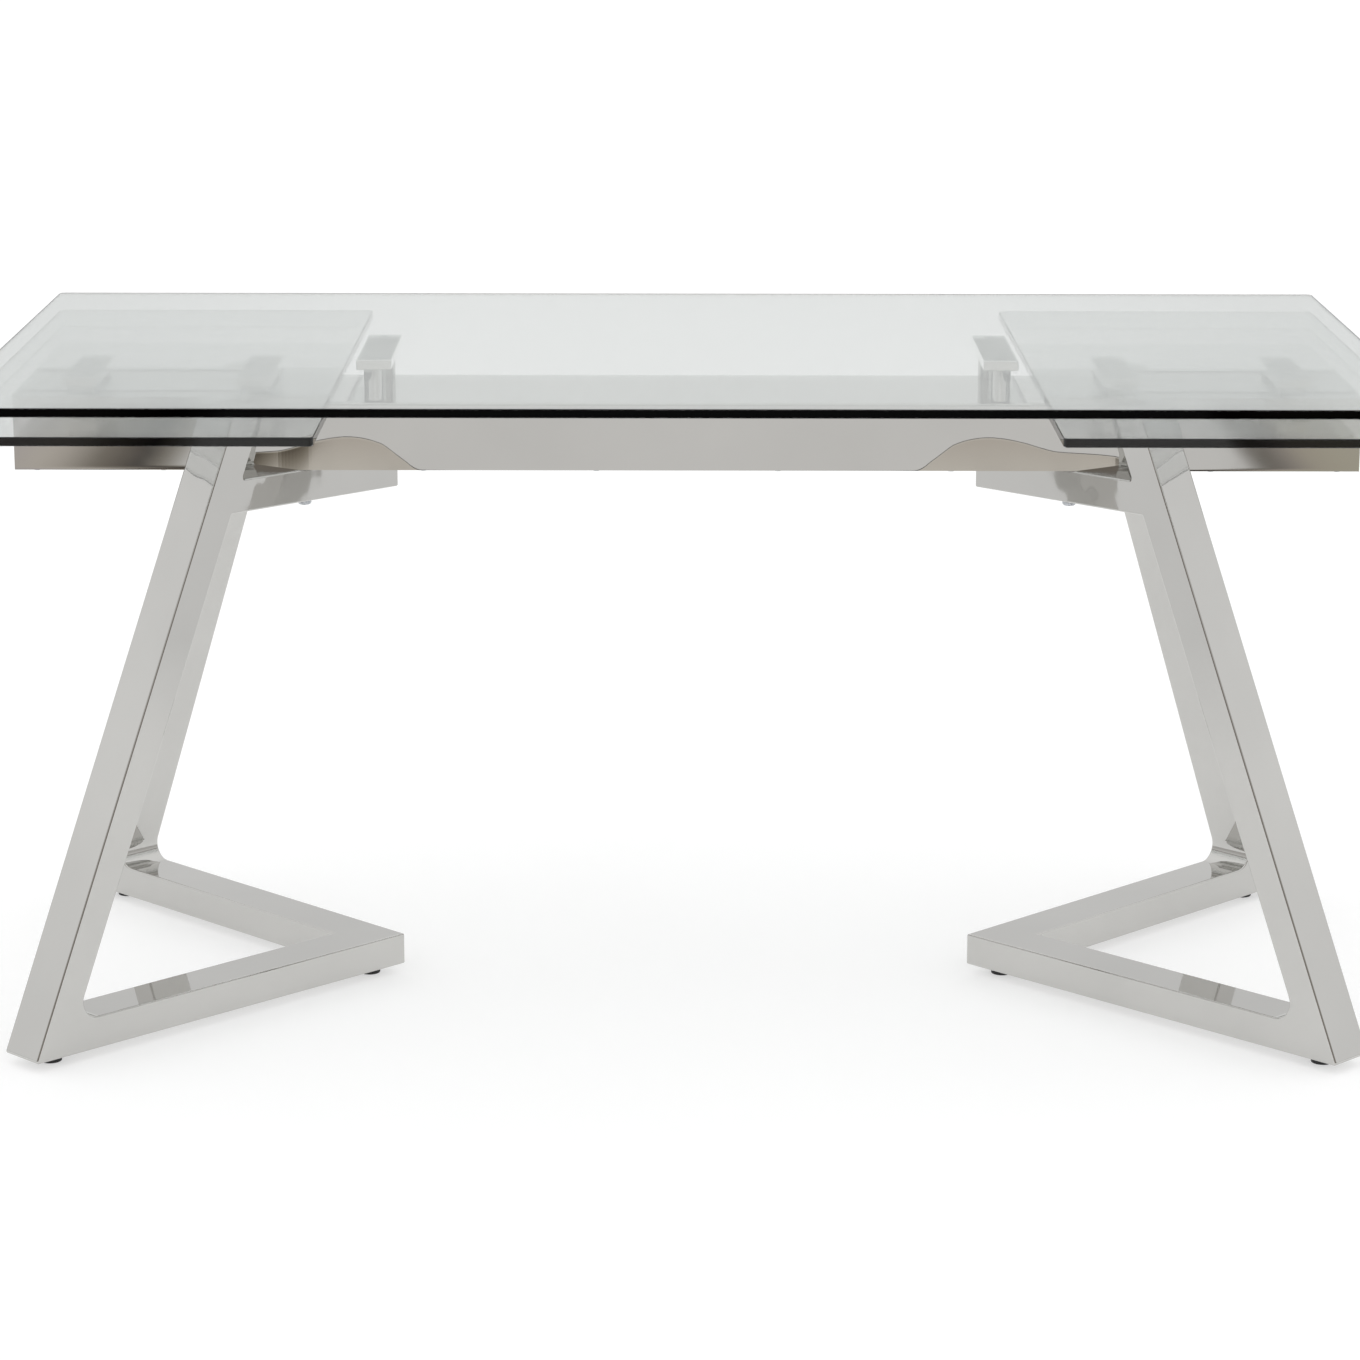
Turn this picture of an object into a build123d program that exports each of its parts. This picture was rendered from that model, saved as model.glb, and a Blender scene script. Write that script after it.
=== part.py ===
"""Extendable dining table with a clear glass top on two folded steel tube legs.

A fixed glass top stands on four posts above a long box beam. Two glass leaves are stored
under the top's ends. Each leaf is bonded to two flat bars, which ride on a pair of steel
arms that slide out of the beam's ends. Each leg is welded from rectangular tube: a V on
the floor, a smaller V under the beam, and two leaning uprights that join them.

Units are millimetres. +X runs along the table, +Y across it and +Z up. The origin is on
the floor, under the middle of the top.
"""

from build123d import *

import math
import os

# ---------------------------------------------------------------- driving dimensions
# Glass
TABLE_HEIGHT = 766.0        # floor to the upper face of the fixed top
TOP_LENGTH = 1600.0         # along X
TOP_WIDTH = 900.0           # along Y
GLASS_THICK = 10.0
GLASS_CORNER_R = 6.0        # plan radius of each glass corner
GLASS_ARRIS = 1.0           # flat ground on every glass edge
LEAF_LENGTH = TOP_LENGTH / 4   # along X, and also the leaf's travel
LEAF_AIR_GAP = 21.0         # from the underside of the top to the leaf's upper face

# Flat bars bonded under the glass
BAR_WIDTH = 40.0            # along X
TOP_BAR_THICK = 12.0
TOP_BAR_LENGTH = 200.0      # along Y
TOP_BAR_TO_LEAF = 20.0      # clear gap between a top bar and the leaf's inner edge
LEAF_BAR_THICK = 12.0
LEAF_BAR_EDGE = 4.0         # from a spacer's side to the end of the leaf bar
LEAF_BAR_PITCH = 200.0      # between a leaf's two bars
BAR_CHAMFER = 1.0
BEAM_CLEARANCE = 6.0        # from the beam's upper face to the leaf bars

# Posts between the beam and the top bars
POST_DIAMETER = 25.0
POST_EDGE = 3.5             # from a post's side to the end of the bar that it carries

# Box beam
BEAM_END_INSET = 25.0       # from the end of the top to the end of the beam
BEAM_WIDTH = 208.0
BEAM_HEIGHT = 70.0
BEAM_WALL = 3.0
BEAM_EDGE_R = 3.0
LIP_WIDTH = 16.0            # flat bar welded along the bottom of each side wall
LIP_THICK = 6.0             # also the thickness of the nut plates between the bars
COVER_THICK = 3.0
COVER_CLEARANCE = 0.5
END_CAP_THICK = 3.0

# Slides inside the beam
ARM_WIDTH = 25.0
ARM_WALL = 2.5
ARM_RECESS = 9.0            # arm's outer end inside the end of the beam, leaf closed
POST_TO_STOP = 137.0        # from a post's middle to the guide block that stops its arm
CHANNEL_WALL = 2.0
CHANNEL_SIDE_GAP = 5.5      # from a channel to the beam's side wall
BLOCK_SIDE = 5.0            # nylon on each side of an arm
BLOCK_FLOOR = 7.0           # nylon under an arm
BLOCK_LENGTH = 30.0
HEADROOM = 12.0             # from an arm to the beam's inner upper face
BLOCK_HEADROOM = 2.0        # from a guide block to the beam's inner upper face
TAIL_RISE = 4.0             # tail block and channel wall above the arm
RUNNING = 0.4               # sliding clearance on each side
STOP_GAP = 2.0              # from tail block to guide block, leaf fully out
SPACER_WIDTH = 12.0         # along Y
SPACER_LENGTH = 30.0        # along X
SPACER_CORNER_R = 2.0
SLOT_CLEARANCE = 2.0        # each side of a spacer in the beam's slot
SLOT_RUNOUT = 5.0           # slot beyond a spacer, leaf closed
WINDOW_CLEARANCE = 1.5      # round an arm in the end cap
PLUG_FLANGE = 2.0
PLUG_DEPTH = 12.0

# Legs
TUBE_WIDTH = 60.0           # across the plane of a leg frame
TUBE_DEPTH = 38.0           # in the plane of a leg frame
TUBE_WALL = 2.0
TUBE_EDGE_R = 2.0
ARM_ANGLE = 45.0            # between a frame's plane and X
FOOT_REACH = 548.0          # from the nose of the floor V to its outer corner
FOOT_END_INSET = 29.0       # from the end of the top to the outermost corner of a foot
UPRIGHT_NOTCH = 3.0         # depth that the beam's side cuts into an upright's inner corner
OUTLINE_CORNER_R = 3.0
HEEL_FILLET_R = 20.0        # inside corner between upright and floor tube
NECK_FILLET_R = 3.0         # inside corners between upright and head tube
PAD_DIAMETER = 25.0
PAD_HEIGHT = 11.0
PAD_EDGE_R = 1.5
PAD_NOSE_INSET = 42.0       # from the nose to the middle of its pad
PAD_END_INSET = 42.0        # from a foot's outer corner to the middle of its pad

# Fasteners: shank radius, head radius, head height, socket across flats
BOLT_M10 = (5.0, 8.0, 10.0, 8.0)
SCREW_M8 = (4.0, 7.0, 3.5, 5.0)
SCREW_M6 = (3.0, 5.5, 3.3, 4.0)
SCREW_M4 = (2.0, 4.0, 2.4, 2.5)
HOLE_CLEARANCE = 0.2        # on the radius
CUT_PAST = 1.0              # how far a cut runs beyond the face that it opens
LEG_BOLT_INSET = 42.0       # from the beam's side
NUT_PLATE_WIDTH = 40.0
NUT_PLATE_EDGE = 5.0        # from a bolt's side to the end of its nut plate
POST_THREAD = 20.0          # depth of the base screw in its post
BAR_SCREW_DEPTH = 14.0      # length of the screw from its seat in the bar
HEAD_SUNK = 1.0             # from the bar's upper face down to the top of a sunk head
END_ROOM = 1.0              # blind hole beyond the end of its screw
BAR_THREAD = 8.0            # depth of an arm screw in its leaf bar
COVER_SCREW_INSETS = (24.0, 170.0, 470.0, 670.0)   # from the end of the beam
COVER_SCREW_EDGE = 10.0     # from the inside of the beam's side wall
PAD_SCREW_LENGTH = 12.0
DRIVER_ROOM = 1.0           # round a screw's head where it passes into an arm

# ---------------------------------------------------------------- worked-out places
top_under = TABLE_HEIGHT - GLASS_THICK
leaf_top = top_under - LEAF_AIR_GAP
leaf_under = leaf_top - GLASS_THICK
leaf_bar_under = leaf_under - LEAF_BAR_THICK
beam_top = leaf_bar_under - BEAM_CLEARANCE
beam_under = beam_top - BEAM_HEIGHT
post_height = top_under - TOP_BAR_THICK - beam_top

leaf_middle = (TOP_LENGTH - LEAF_LENGTH) / 2
top_bar_x = TOP_LENGTH / 2 - LEAF_LENGTH - TOP_BAR_TO_LEAF - BAR_WIDTH / 2
leaf_bar_xs = (leaf_middle - LEAF_BAR_PITCH / 2, leaf_middle + LEAF_BAR_PITCH / 2)
post_y = TOP_BAR_LENGTH / 2 - POST_EDGE - POST_DIAMETER / 2
bar_seat = top_under - SCREW_M6[2] - HEAD_SUNK

beam_half = TOP_LENGTH / 2 - BEAM_END_INSET
beam_side = BEAM_WIDTH / 2
inner_side = beam_side - BEAM_WALL
inner_top = beam_top - BEAM_WALL
lip_under = beam_under + COVER_THICK
lip_top = lip_under + LIP_THICK
cap_inner = beam_half - END_CAP_THICK - COVER_CLEARANCE

channel_floor = lip_top + CHANNEL_WALL
arm_under = channel_floor + BLOCK_FLOOR
arm_top = inner_top - HEADROOM
channel_half = ARM_WIDTH / 2 + BLOCK_SIDE + CHANNEL_WALL
arm_y = inner_side - CHANNEL_SIDE_GAP - channel_half
arm_outer = beam_half - ARM_RECESS
stop_x = top_bar_x + POST_TO_STOP
tail_outer = stop_x - STOP_GAP - LEAF_LENGTH
arm_inner = tail_outer - BLOCK_LENGTH
mouth_x = cap_inner - BLOCK_LENGTH
cover_screw_xs = [beam_half - inset for inset in COVER_SCREW_INSETS]
cover_screw_y = inner_side - COVER_SCREW_EDGE
leaf_bar_length = 2 * (arm_y + SPACER_WIDTH / 2 + LEAF_BAR_EDGE)
slot_half = SPACER_WIDTH / 2 + SLOT_CLEARANCE
slot_start = leaf_bar_xs[0] - SPACER_LENGTH / 2 - SLOT_RUNOUT

sin_a = math.sin(math.radians(ARM_ANGLE))
cos_a = math.cos(math.radians(ARM_ANGLE))
nose_x = TOP_LENGTH / 2 - FOOT_END_INSET - FOOT_REACH * cos_a - TUBE_WIDTH * sin_a
foot_under = PAD_HEIGHT
foot_top = foot_under + TUBE_DEPTH
head_top = beam_under
head_under = head_top - TUBE_DEPTH
leg_bolt_y = beam_side - LEG_BOLT_INSET

# The upright's inner line ends a notch inside the beam's side and its outer line starts at
# the foot's outer corner, a tube's depth apart, which sets how far it leans.
upright_top_reach = (beam_side - UPRIGHT_NOTCH + TUBE_WIDTH * cos_a) / sin_a
lean_run = FOOT_REACH - upright_top_reach
lean_rise = beam_top - foot_under
lean = math.acos(TUBE_DEPTH / math.hypot(lean_run, lean_rise)) - math.atan2(lean_rise, lean_run)
upright_span = TUBE_DEPTH / math.cos(lean)


def outer_line(z):
    """Reach of the upright's outer line from the nose, at height z."""
    return FOOT_REACH - (z - foot_under) * math.tan(lean)


def inner_line(z):
    """Reach of the upright's inner line from the nose, at height z."""
    return outer_line(z) - upright_span


# ---------------------------------------------------------------- small helpers
def block(x_range, y_range, z_range):
    """A box between two values on each axis."""
    (x0, x1), (y0, y1), (z0, z1) = x_range, y_range, z_range
    middle = Vector((x0 + x1) / 2, (y0 + y1) / 2, (z0 + z1) / 2)
    return Pos(middle) * Box(abs(x1 - x0), abs(y1 - y0), abs(z1 - z0))


def upright_cylinder(radius, x, y, z_range):
    """A cylinder along Z."""
    z0, z1 = z_range
    return Pos(x, y, (z0 + z1) / 2) * Cylinder(radius, abs(z1 - z0))


def screw(size, length, x, y, seat_z, up=True):
    """An upright socket-head screw with its head seated at seat_z and its shank going up or down."""
    shank_r, head_r, head_h, socket = size
    body = Cylinder(shank_r, length, align=(Align.CENTER, Align.CENTER, Align.MIN))
    head = Cylinder(head_r, head_h, align=(Align.CENTER, Align.CENTER, Align.MAX))
    head = fillet(head.edges().sort_by(Axis.Z)[0], head_h / 3)
    drive = Pos(0, 0, -head_h) * extrude(RegularPolygon(socket / 2, 6, major_radius=False), head_h * 0.6)
    made = body + head - drive
    if not up:
        made = Rot(180, 0, 0) * made
    return Pos(x, y, seat_z) * made


def hole(size, x, y, z_range):
    """The clearance hole for a screw of that size."""
    return upright_cylinder(size[0] + HOLE_CLEARANCE, x, y, z_range)


def on_side(shape, side):
    """A shape built on the +X side, moved to the side asked for."""
    return shape if side > 0 else mirror(shape, Plane.YZ)


def on_face(shape, face):
    """A shape built on the -Y side, moved to the face asked for."""
    return shape if face < 0 else mirror(shape, Plane.XZ)


SIDES = {"left": -1, "right": 1}
FACES = {"front": -1, "rear": 1}
parts = {}


# ---------------------------------------------------------------- glass
def glass_sheet(length, x, z_top):
    """A toughened glass sheet with rounded corners and ground edges, centred on x."""
    sheet = extrude(RectangleRounded(length, TOP_WIDTH, GLASS_CORNER_R), GLASS_THICK)
    rims = sheet.faces().sort_by(Axis.Z)
    sheet = chamfer(rims[0].edges() + rims[-1].edges(), GLASS_ARRIS)
    return Pos(x, 0, z_top - GLASS_THICK) * sheet


# ---------------------------------------------------------------- bars and posts
def flat_bar(length, thick, x, z_top):
    """A flat bar across the table with eased edges."""
    bar = Box(BAR_WIDTH, length, thick)
    bar = chamfer(bar.edges(), BAR_CHAMFER)
    return Pos(x, 0, z_top - thick / 2) * bar


def top_support_bar():
    """The bar bonded under the fixed top, with a countersunk screw hole over each post."""
    bar = flat_bar(TOP_BAR_LENGTH, TOP_BAR_THICK, top_bar_x, top_under)
    for y in (-post_y, post_y):
        bar -= hole(SCREW_M6, top_bar_x, y, (top_under - TOP_BAR_THICK, top_under))
        bar -= upright_cylinder(SCREW_M6[1] + HOLE_CLEARANCE, top_bar_x, y, (bar_seat, top_under))
    return bar


def support_posts():
    """The two turned posts that carry a top bar, threaded at both ends."""
    posts = []
    for y in (-post_y, post_y):
        post = upright_cylinder(POST_DIAMETER / 2, top_bar_x, y, (beam_top, beam_top + post_height))
        post = chamfer(post.edges().filter_by(GeomType.CIRCLE), BAR_CHAMFER)
        post -= hole(SCREW_M8, top_bar_x, y, (beam_top, beam_top + POST_THREAD + END_ROOM))
        screw_end = bar_seat - BAR_SCREW_DEPTH - END_ROOM
        post -= hole(SCREW_M6, top_bar_x, y, (screw_end, beam_top + post_height))
        posts.append(post)
    return posts


def post_top_screws():
    """The screws that go down through a top bar into its posts."""
    return [screw(SCREW_M6, BAR_SCREW_DEPTH, top_bar_x, y, bar_seat, up=False) for y in (-post_y, post_y)]


def post_base_screws():
    """The screws that go up through the beam into the posts."""
    length = BEAM_WALL + POST_THREAD
    return [screw(SCREW_M8, length, top_bar_x, y, inner_top) for y in (-post_y, post_y)]


def leaf_support_bar(x):
    """A bar bonded under a leaf, tapped for the two screws that hold it to the arms."""
    bar = flat_bar(leaf_bar_length, LEAF_BAR_THICK, x, leaf_under)
    for y in (-arm_y, arm_y):
        bar -= hole(SCREW_M6, x, y, (leaf_bar_under, leaf_bar_under + BAR_THREAD + END_ROOM))
    return bar


# ---------------------------------------------------------------- beam
def beam_shell():
    """The casing: a folded steel channel with a bar along each bottom edge, slotted for the leaves."""
    section = Rectangle(BEAM_WIDTH, BEAM_HEIGHT)
    upper = section.vertices().group_by(Axis.Y)[-1]
    section = fillet(upper, BEAM_EDGE_R)
    section -= Pos(0, -BEAM_WALL) * Rectangle(2 * inner_side, BEAM_HEIGHT)
    casing = extrude(Plane.YZ * Pos(0, beam_under + BEAM_HEIGHT / 2) * section, beam_half, both=True)
    open_end = (slot_start, beam_half + CUT_PAST)
    through_top = (inner_top - CUT_PAST, beam_top + CUT_PAST)
    for y in (-1, 1):
        lip = (y * (inner_side - LIP_WIDTH), y * inner_side)
        casing += block((-cap_inner, cap_inner), lip, (lip_under, lip_top))
    for side in SIDES.values():
        for y in (-arm_y, arm_y):
            casing -= on_side(block(open_end, (y - slot_half, y + slot_half), through_top), side)
        for y in (-post_y, post_y):
            casing -= on_side(hole(SCREW_M8, top_bar_x, y, (inner_top, beam_top)), side)
    for x, y in cover_screw_places():
        casing -= hole(SCREW_M4, x, y, (lip_under, lip_top))
    return casing


def cover_screw_places():
    """X and Y of every cover screw."""
    on_one_side = [(x, face * cover_screw_y) for x in cover_screw_xs for face in FACES.values()]
    return [(side * x, y) for side in SIDES.values() for x, y in on_one_side]


def bottom_cover():
    """The plate that closes the beam from below, between the side walls and under the lips."""
    half_width = inner_side - COVER_CLEARANCE
    plate = block((-cap_inner, cap_inner), (-half_width, half_width), (beam_under, lip_under))
    for x, y in cover_screw_places():
        plate -= hole(SCREW_M4, x, y, (beam_under, lip_under))
    for side in SIDES.values():
        for y in (-leg_bolt_y, leg_bolt_y):
            plate -= hole(BOLT_M10, side * leg_bolt_x, y, (beam_under, lip_under))
    return plate


def cover_screws():
    """Screws up through the cover and the lips into the guide channels."""
    length = channel_floor - beam_under
    return [screw(SCREW_M4, length, x, y, beam_under) for x, y in cover_screw_places()]


def beam_end_cap():
    """The plate in the end of the beam, with a window for each arm and a slot over it for the spacers."""
    run = (cap_inner + COVER_CLEARANCE, beam_half)
    plate = block(run, (-inner_side, inner_side), (beam_under, inner_top))
    half = ARM_WIDTH / 2 + WINDOW_CLEARANCE
    window = (arm_under - WINDOW_CLEARANCE, arm_top + WINDOW_CLEARANCE)
    for y in (-arm_y, arm_y):
        plate -= block(run, (y - half, y + half), window)
        plate -= block(run, (y - slot_half, y + slot_half), (arm_top, inner_top))
    return plate


# ---------------------------------------------------------------- slides
def guide_channel():
    """An open-topped steel channel that carries the nylon blocks of one arm."""
    run = (arm_inner - BLOCK_LENGTH / 2, cap_inner)
    wall_top = arm_top + TAIL_RISE
    channel = block(run, (-arm_y - channel_half, -arm_y + channel_half), (lip_top, wall_top))
    clear_half = channel_half - CHANNEL_WALL
    channel -= block(run, (-arm_y - clear_half, -arm_y + clear_half), (channel_floor, wall_top))
    for x in cover_screw_xs:
        channel -= hole(SCREW_M4, x, -cover_screw_y, (lip_top, channel_floor))
    return channel


def guide_blocks():
    """The two nylon blocks that an arm slides through: the stop block and the mouth block."""
    made = []
    for x in (stop_x, mouth_x):
        run = (x, x + BLOCK_LENGTH)
        half = ARM_WIDTH / 2 + BLOCK_SIDE
        nylon = block(run, (-arm_y - half, -arm_y + half), (channel_floor, inner_top - BLOCK_HEADROOM))
        grip = ARM_WIDTH / 2 + RUNNING
        nylon -= block(run, (-arm_y - grip, -arm_y + grip), (arm_under - RUNNING, arm_top + RUNNING))
        nylon -= block(run, (-arm_y - slot_half, -arm_y + slot_half), (arm_top, inner_top))
        for screw_x in cover_screw_xs:
            nylon -= hole(SCREW_M4, screw_x, -cover_screw_y, (channel_floor, channel_floor + END_ROOM))
        made.append(nylon)
    return made


def arm_bar(run):
    """A bar with the outside section of an arm."""
    half = ARM_WIDTH / 2
    bar = block(run, (-arm_y - half, -arm_y + half), (arm_under, arm_top))
    return chamfer(bar.edges().filter_by(Axis.X), BAR_CHAMFER)


def slide_arm():
    """The steel tube that carries a leaf, drilled for the screws of its two bars."""
    clear = ARM_WIDTH / 2 - ARM_WALL
    bore = (arm_under + ARM_WALL, arm_top - ARM_WALL)
    tube = arm_bar((arm_inner, arm_outer))
    tube -= block((arm_inner, arm_outer), (-arm_y - clear, -arm_y + clear), bore)
    for x in leaf_bar_xs:
        tube -= hole(SCREW_M6, x, -arm_y, (arm_top - ARM_WALL, arm_top))
        driver_hole = SCREW_M6[1] + DRIVER_ROOM
        tube -= upright_cylinder(driver_hole, x, -arm_y, (arm_under, arm_under + ARM_WALL))
    return tube


def tail_block():
    """The nylon block round an arm's inner end. It runs in the channel and meets the stop block."""
    half = ARM_WIDTH / 2 + BLOCK_SIDE - RUNNING
    z_range = (channel_floor + RUNNING, arm_top + TAIL_RISE - RUNNING)
    nylon = block((arm_inner, tail_outer), (-arm_y - half, -arm_y + half), z_range)
    return nylon - arm_bar((arm_inner, tail_outer))


def arm_end_plug():
    """The moulded plug in an arm's outer end: a flange outside the tube and a spigot in it."""
    flange = arm_bar((arm_outer, arm_outer + PLUG_FLANGE))
    inset = ARM_WALL + HOLE_CLEARANCE
    clear = ARM_WIDTH / 2 - inset
    run = (arm_outer - PLUG_DEPTH, arm_outer)
    return flange + block(run, (-arm_y - clear, -arm_y + clear), (arm_under + inset, arm_top - inset))


def leaf_spacer(x):
    """The block that lifts a leaf bar off its arm, through the beam's slot."""
    half_x, half_y = SPACER_LENGTH / 2, SPACER_WIDTH / 2
    across = (-arm_y - half_y, -arm_y + half_y)
    spacer = block((x - half_x, x + half_x), across, (arm_top, leaf_bar_under))
    spacer = fillet(spacer.edges().filter_by(Axis.Z), SPACER_CORNER_R)
    return spacer - hole(SCREW_M6, x, -arm_y, (arm_top, leaf_bar_under))


def arm_screw(x):
    """The screw from inside an arm up through its spacer into the leaf bar."""
    seat = arm_top - ARM_WALL
    length = leaf_bar_under + BAR_THREAD - seat
    return screw(SCREW_M6, length, x, -arm_y, seat)


# ---------------------------------------------------------------- legs
frame_plane = Plane(origin=(nose_x, 0, 0), x_dir=(cos_a, -sin_a, 0), z_dir=(-sin_a, -cos_a, 0))
OVERRUN = 10.0              # length past the nose, trimmed off at the mitre


def frame_point(reach, inset):
    """X and Y of a point in a front frame, from its reach and its inset from the inner face."""
    return (nose_x + reach * cos_a + inset * sin_a, inset * cos_a - reach * sin_a)


def outline(points, rounded):
    """A closed outline in a frame's plane, with the corners listed in rounded given their radii."""
    face = make_face(Polyline(*points, close=True))
    for index, radius in rounded.items():
        target = Vector(*points[index])
        corner = face.vertices().sort_by_distance(target)[0]
        face = fillet(corner, radius)
    return face


def frame_body():
    """One leg frame with its edges rounded: floor tube, upright and head tube in one outline."""
    points = [
        (-OVERRUN, foot_under),
        (FOOT_REACH, foot_under),
        (outer_line(beam_top), beam_top),
        (inner_line(beam_top), beam_top),
        (inner_line(head_top), head_top),
        (-OVERRUN, head_top),
        (-OVERRUN, head_under),
        (inner_line(head_under), head_under),
        (inner_line(foot_top), foot_top),
        (-OVERRUN, foot_top),
    ]
    rounded = {
        1: OUTLINE_CORNER_R,
        2: OUTLINE_CORNER_R,
        3: OUTLINE_CORNER_R,
        4: NECK_FILLET_R,
        7: NECK_FILLET_R,
        8: HEEL_FILLET_R,
    }
    solid = extrude(frame_plane * outline(points, rounded), -TUBE_WIDTH)
    along = frame_plane.z_dir
    sides = solid.faces().filter_by(lambda face: abs(abs(face.normal_at().dot(along)) - 1) < 1e-6)
    return fillet(sides.edges(), TUBE_EDGE_R)


def bore_of(points, rounded):
    """The hollow of a tube run, one wall in from both faces of the frame."""
    start = frame_plane.offset(-TUBE_WALL)
    return extrude(start * outline(points, rounded), -(TUBE_WIDTH - 2 * TUBE_WALL))


def frame_bores():
    """The hollows of the floor tube with its upright, and of the head tube."""
    wall_span = TUBE_WALL / math.cos(lean)
    low, high = foot_under + TUBE_WALL, beam_top - TUBE_WALL
    shelf = foot_top - TUBE_WALL
    leg = bore_of(
        [
            (-OVERRUN, low),
            (outer_line(low) - wall_span, low),
            (outer_line(high) - wall_span, high),
            (inner_line(high) + wall_span, high),
            (inner_line(shelf) + wall_span, shelf),
            (-OVERRUN, shelf),
        ],
        {4: HEEL_FILLET_R + TUBE_WALL},
    )
    head_low, head_high = head_under + TUBE_WALL, head_top - TUBE_WALL
    head = bore_of(
        [
            (-OVERRUN, head_low),
            (inner_line(head_low), head_low),
            (inner_line(head_high), head_high),
            (-OVERRUN, head_high),
        ],
        {},
    )
    return leg + head


def cutting_plane(point, direction):
    """The plane that stands on a line in the frame's plane, facing the line's left."""
    start = frame_plane.from_local_coords(Vector(*point))
    along = frame_plane.x_dir * direction[0] + frame_plane.y_dir * direction[1]
    return Plane(origin=start, x_dir=along, z_dir=frame_plane.z_dir.cross(along))


def leg_tubes():
    """The three tubes of the frame on the +X side's front: floor tube, upright and head tube."""
    body = split(frame_body() - frame_bores(), bisect_by=Plane.XZ, keep=Keep.TOP)
    heel = Vector(inner_line(foot_top), foot_top)
    corner = Vector(FOOT_REACH, foot_under)
    mitre = cutting_plane((corner.X, corner.Y), (heel.X - corner.X, heel.Y - corner.Y))
    floor_tube = split(body, bisect_by=mitre, keep=Keep.TOP)
    rest = split(body, bisect_by=mitre, keep=Keep.BOTTOM)
    waist = Plane.XY.offset((foot_top + head_under) / 2)
    lower = split(rest, bisect_by=waist, keep=Keep.BOTTOM)
    upper = split(rest, bisect_by=waist, keep=Keep.TOP)
    neck = cutting_plane((inner_line(head_top), head_top), (-math.sin(lean), math.cos(lean)))
    head_tube = split(upper, bisect_by=neck, keep=Keep.TOP)
    upright = lower + split(upper, bisect_by=neck, keep=Keep.BOTTOM)
    beyond = TOP_LENGTH + TOP_WIDTH
    upright -= block((-beyond, beyond), (-beam_side, beyond), (head_top, beam_top + beyond))
    return {"floor_tube": floor_tube, "upright": upright, "head_tube": head_tube}


leg_bolt_reach = (leg_bolt_y + TUBE_WIDTH / 2 * cos_a) / sin_a
leg_bolt_x = frame_point(leg_bolt_reach, TUBE_WIDTH / 2)[0]


def nut_plate():
    """The tapped plate inside the beam that both bolts of a leg screw into."""
    half_length = leg_bolt_y + BOLT_M10[0] + NUT_PLATE_EDGE
    plate = block(
        (leg_bolt_x - NUT_PLATE_WIDTH / 2, leg_bolt_x + NUT_PLATE_WIDTH / 2),
        (-half_length, half_length),
        (lip_under, lip_top),
    )
    for y in (-leg_bolt_y, leg_bolt_y):
        plate -= hole(BOLT_M10, leg_bolt_x, y, (lip_under, lip_top))
    return plate


def leg_bolts():
    """The two bolts up through a leg's head tubes into its nut plate."""
    length = lip_top - head_under
    return [screw(BOLT_M10, length, leg_bolt_x, y, head_under) for y in (-leg_bolt_y, leg_bolt_y)]


def pad_places():
    """X and Y of the three pads under the leg on the +X side: nose, front and rear."""
    nose = (nose_x + PAD_NOSE_INSET, 0.0)
    front = frame_point(FOOT_REACH - PAD_END_INSET, TUBE_WIDTH / 2)
    return [nose, front, (front[0], -front[1])]


def foot_pad(x, y):
    """A rubber pad with a sunk screw hole."""
    pad = upright_cylinder(PAD_DIAMETER / 2, x, y, (0, PAD_HEIGHT))
    pad = fillet(pad.edges().filter_by(GeomType.CIRCLE).sort_by(Axis.Z)[0], PAD_EDGE_R)
    pad -= hole(SCREW_M4, x, y, (0, PAD_HEIGHT))
    return pad - upright_cylinder(SCREW_M4[1] + HOLE_CLEARANCE, x, y, (0, PAD_HEIGHT / 2))


def pad_screw(x, y):
    """The screw that holds a pad to its tube."""
    return screw(SCREW_M4, PAD_SCREW_LENGTH, x, y, PAD_HEIGHT / 2)


# ---------------------------------------------------------------- assembly
parts["main_glass_top"] = [glass_sheet(TOP_LENGTH, 0, TABLE_HEIGHT)]
parts["beam_shell"] = [beam_shell()]
parts["beam_bottom_cover"] = [bottom_cover()]
parts["cover_screws"] = cover_screws()
parts["post_top_screws"] = []
parts["post_base_screws"] = []
parts["foot_pad_screws"] = []

tubes = leg_tubes()
for x, y in pad_places():
    drill = hole(SCREW_M4, x, y, (PAD_HEIGHT, PAD_HEIGHT + TUBE_WALL))
    tubes["floor_tube"] -= drill
tubes["head_tube"] -= hole(BOLT_M10, leg_bolt_x, -leg_bolt_y, (head_under, head_top))

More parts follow.
